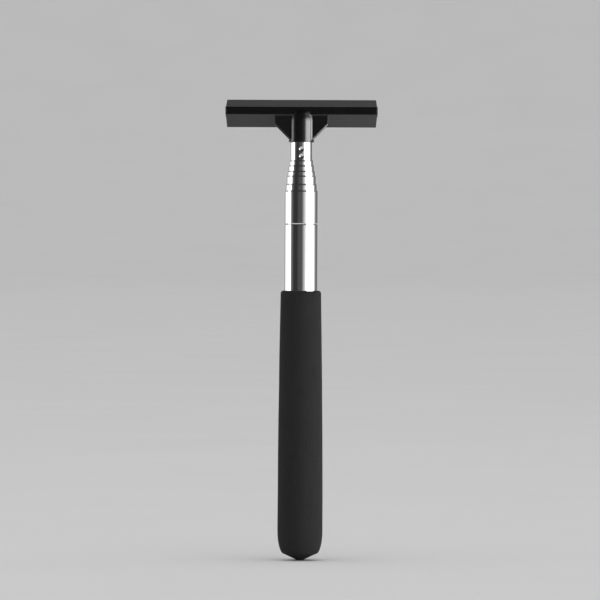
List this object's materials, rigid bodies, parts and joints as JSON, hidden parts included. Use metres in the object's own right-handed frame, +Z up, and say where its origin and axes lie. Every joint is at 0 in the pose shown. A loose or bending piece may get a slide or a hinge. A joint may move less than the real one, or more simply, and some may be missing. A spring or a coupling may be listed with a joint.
{
  "type": "telescopic window squeegee",
  "caption": "Small window squeegee: two rubber blades in a V on a moulded head, a telescopic steel tube that slides and twists, and a tapered foam grip.",
  "frame": {"origin": "middle of the grip's bottom end, at its lowest point", "axes": "+Z up the tube towards the head, +X along the blades, -Y out of the front of the head; pushed together at rest"},
  "size_m": [0.0726, 0.0216, 0.22],
  "materials": {
    "polished_tube": "polished stainless steel tube",
    "sleeve_bronze": "rolled spring bronze",
    "plug_plastic": "moulded matte plastic",
    "grip_foam": "fine closed-cell foam",
    "head_plastic": "gloss black moulding",
    "blade_rubber": "matte rubber with fine drawn lines"
  },
  "bodies": {
    "handle": {"outer_tube": "polished_tube", "end_plug": "plug_plastic", "foam_grip": "grip_foam"},
    "collar_6": {"sleeve_6": "sleeve_bronze"},
    "stage_6": {"tube_6": "polished_tube"},
    "collar_5": {"sleeve_5": "sleeve_bronze"},
    "stage_5": {"tube_5": "polished_tube"},
    "collar_4": {"sleeve_4": "sleeve_bronze"},
    "stage_4": {"tube_4": "polished_tube"},
    "collar_3": {"sleeve_3": "sleeve_bronze"},
    "stage_3": {"tube_3": "polished_tube"},
    "collar_2": {"sleeve_2": "sleeve_bronze"},
    "stage_2": {"tube_2": "polished_tube"},
    "collar_1": {"sleeve_1": "sleeve_bronze"},
    "head_stage": {"tube_1": "polished_tube", "head_body": "head_plastic", "upper_blade": "blade_rubber", "lower_blade": "blade_rubber", "end_cap_left": "head_plastic", "end_cap_right": "head_plastic"}
  },
  "joints": [
    {"name": "slide_6", "type": "slide", "parent": "handle", "child": "collar_6", "axis": [0, 0, 1], "range_m": [0, 0.12666]},
    {"name": "twist_6", "type": "hinge", "parent": "collar_6", "child": "stage_6", "pos_m": [0, 0, 0.1], "axis": [0, 0, 1], "continuous": true},
    {"name": "slide_5", "type": "slide", "parent": "stage_6", "child": "collar_5", "axis": [0, 0, 1], "range_m": [0, 0.12666]},
    {"name": "twist_5", "type": "hinge", "parent": "collar_5", "child": "stage_5", "pos_m": [0, 0, 0.1], "axis": [0, 0, 1], "continuous": true},
    {"name": "slide_4", "type": "slide", "parent": "stage_5", "child": "collar_4", "axis": [0, 0, 1], "range_m": [0, 0.12666]},
    {"name": "twist_4", "type": "hinge", "parent": "collar_4", "child": "stage_4", "pos_m": [0, 0, 0.1], "axis": [0, 0, 1], "continuous": true},
    {"name": "slide_3", "type": "slide", "parent": "stage_4", "child": "collar_3", "axis": [0, 0, 1], "range_m": [0, 0.12666]},
    {"name": "twist_3", "type": "hinge", "parent": "collar_3", "child": "stage_3", "pos_m": [0, 0, 0.1], "axis": [0, 0, 1], "continuous": true},
    {"name": "slide_2", "type": "slide", "parent": "stage_3", "child": "collar_2", "axis": [0, 0, 1], "range_m": [0, 0.12666]},
    {"name": "twist_2", "type": "hinge", "parent": "collar_2", "child": "stage_2", "pos_m": [0, 0, 0.1], "axis": [0, 0, 1], "continuous": true},
    {"name": "slide_1", "type": "slide", "parent": "stage_2", "child": "collar_1", "axis": [0, 0, 1], "range_m": [0, 0.12666]},
    {"name": "twist_1", "type": "hinge", "parent": "collar_1", "child": "head_stage", "pos_m": [0, 0, 0.1], "axis": [0, 0, 1], "continuous": true}
  ]
}
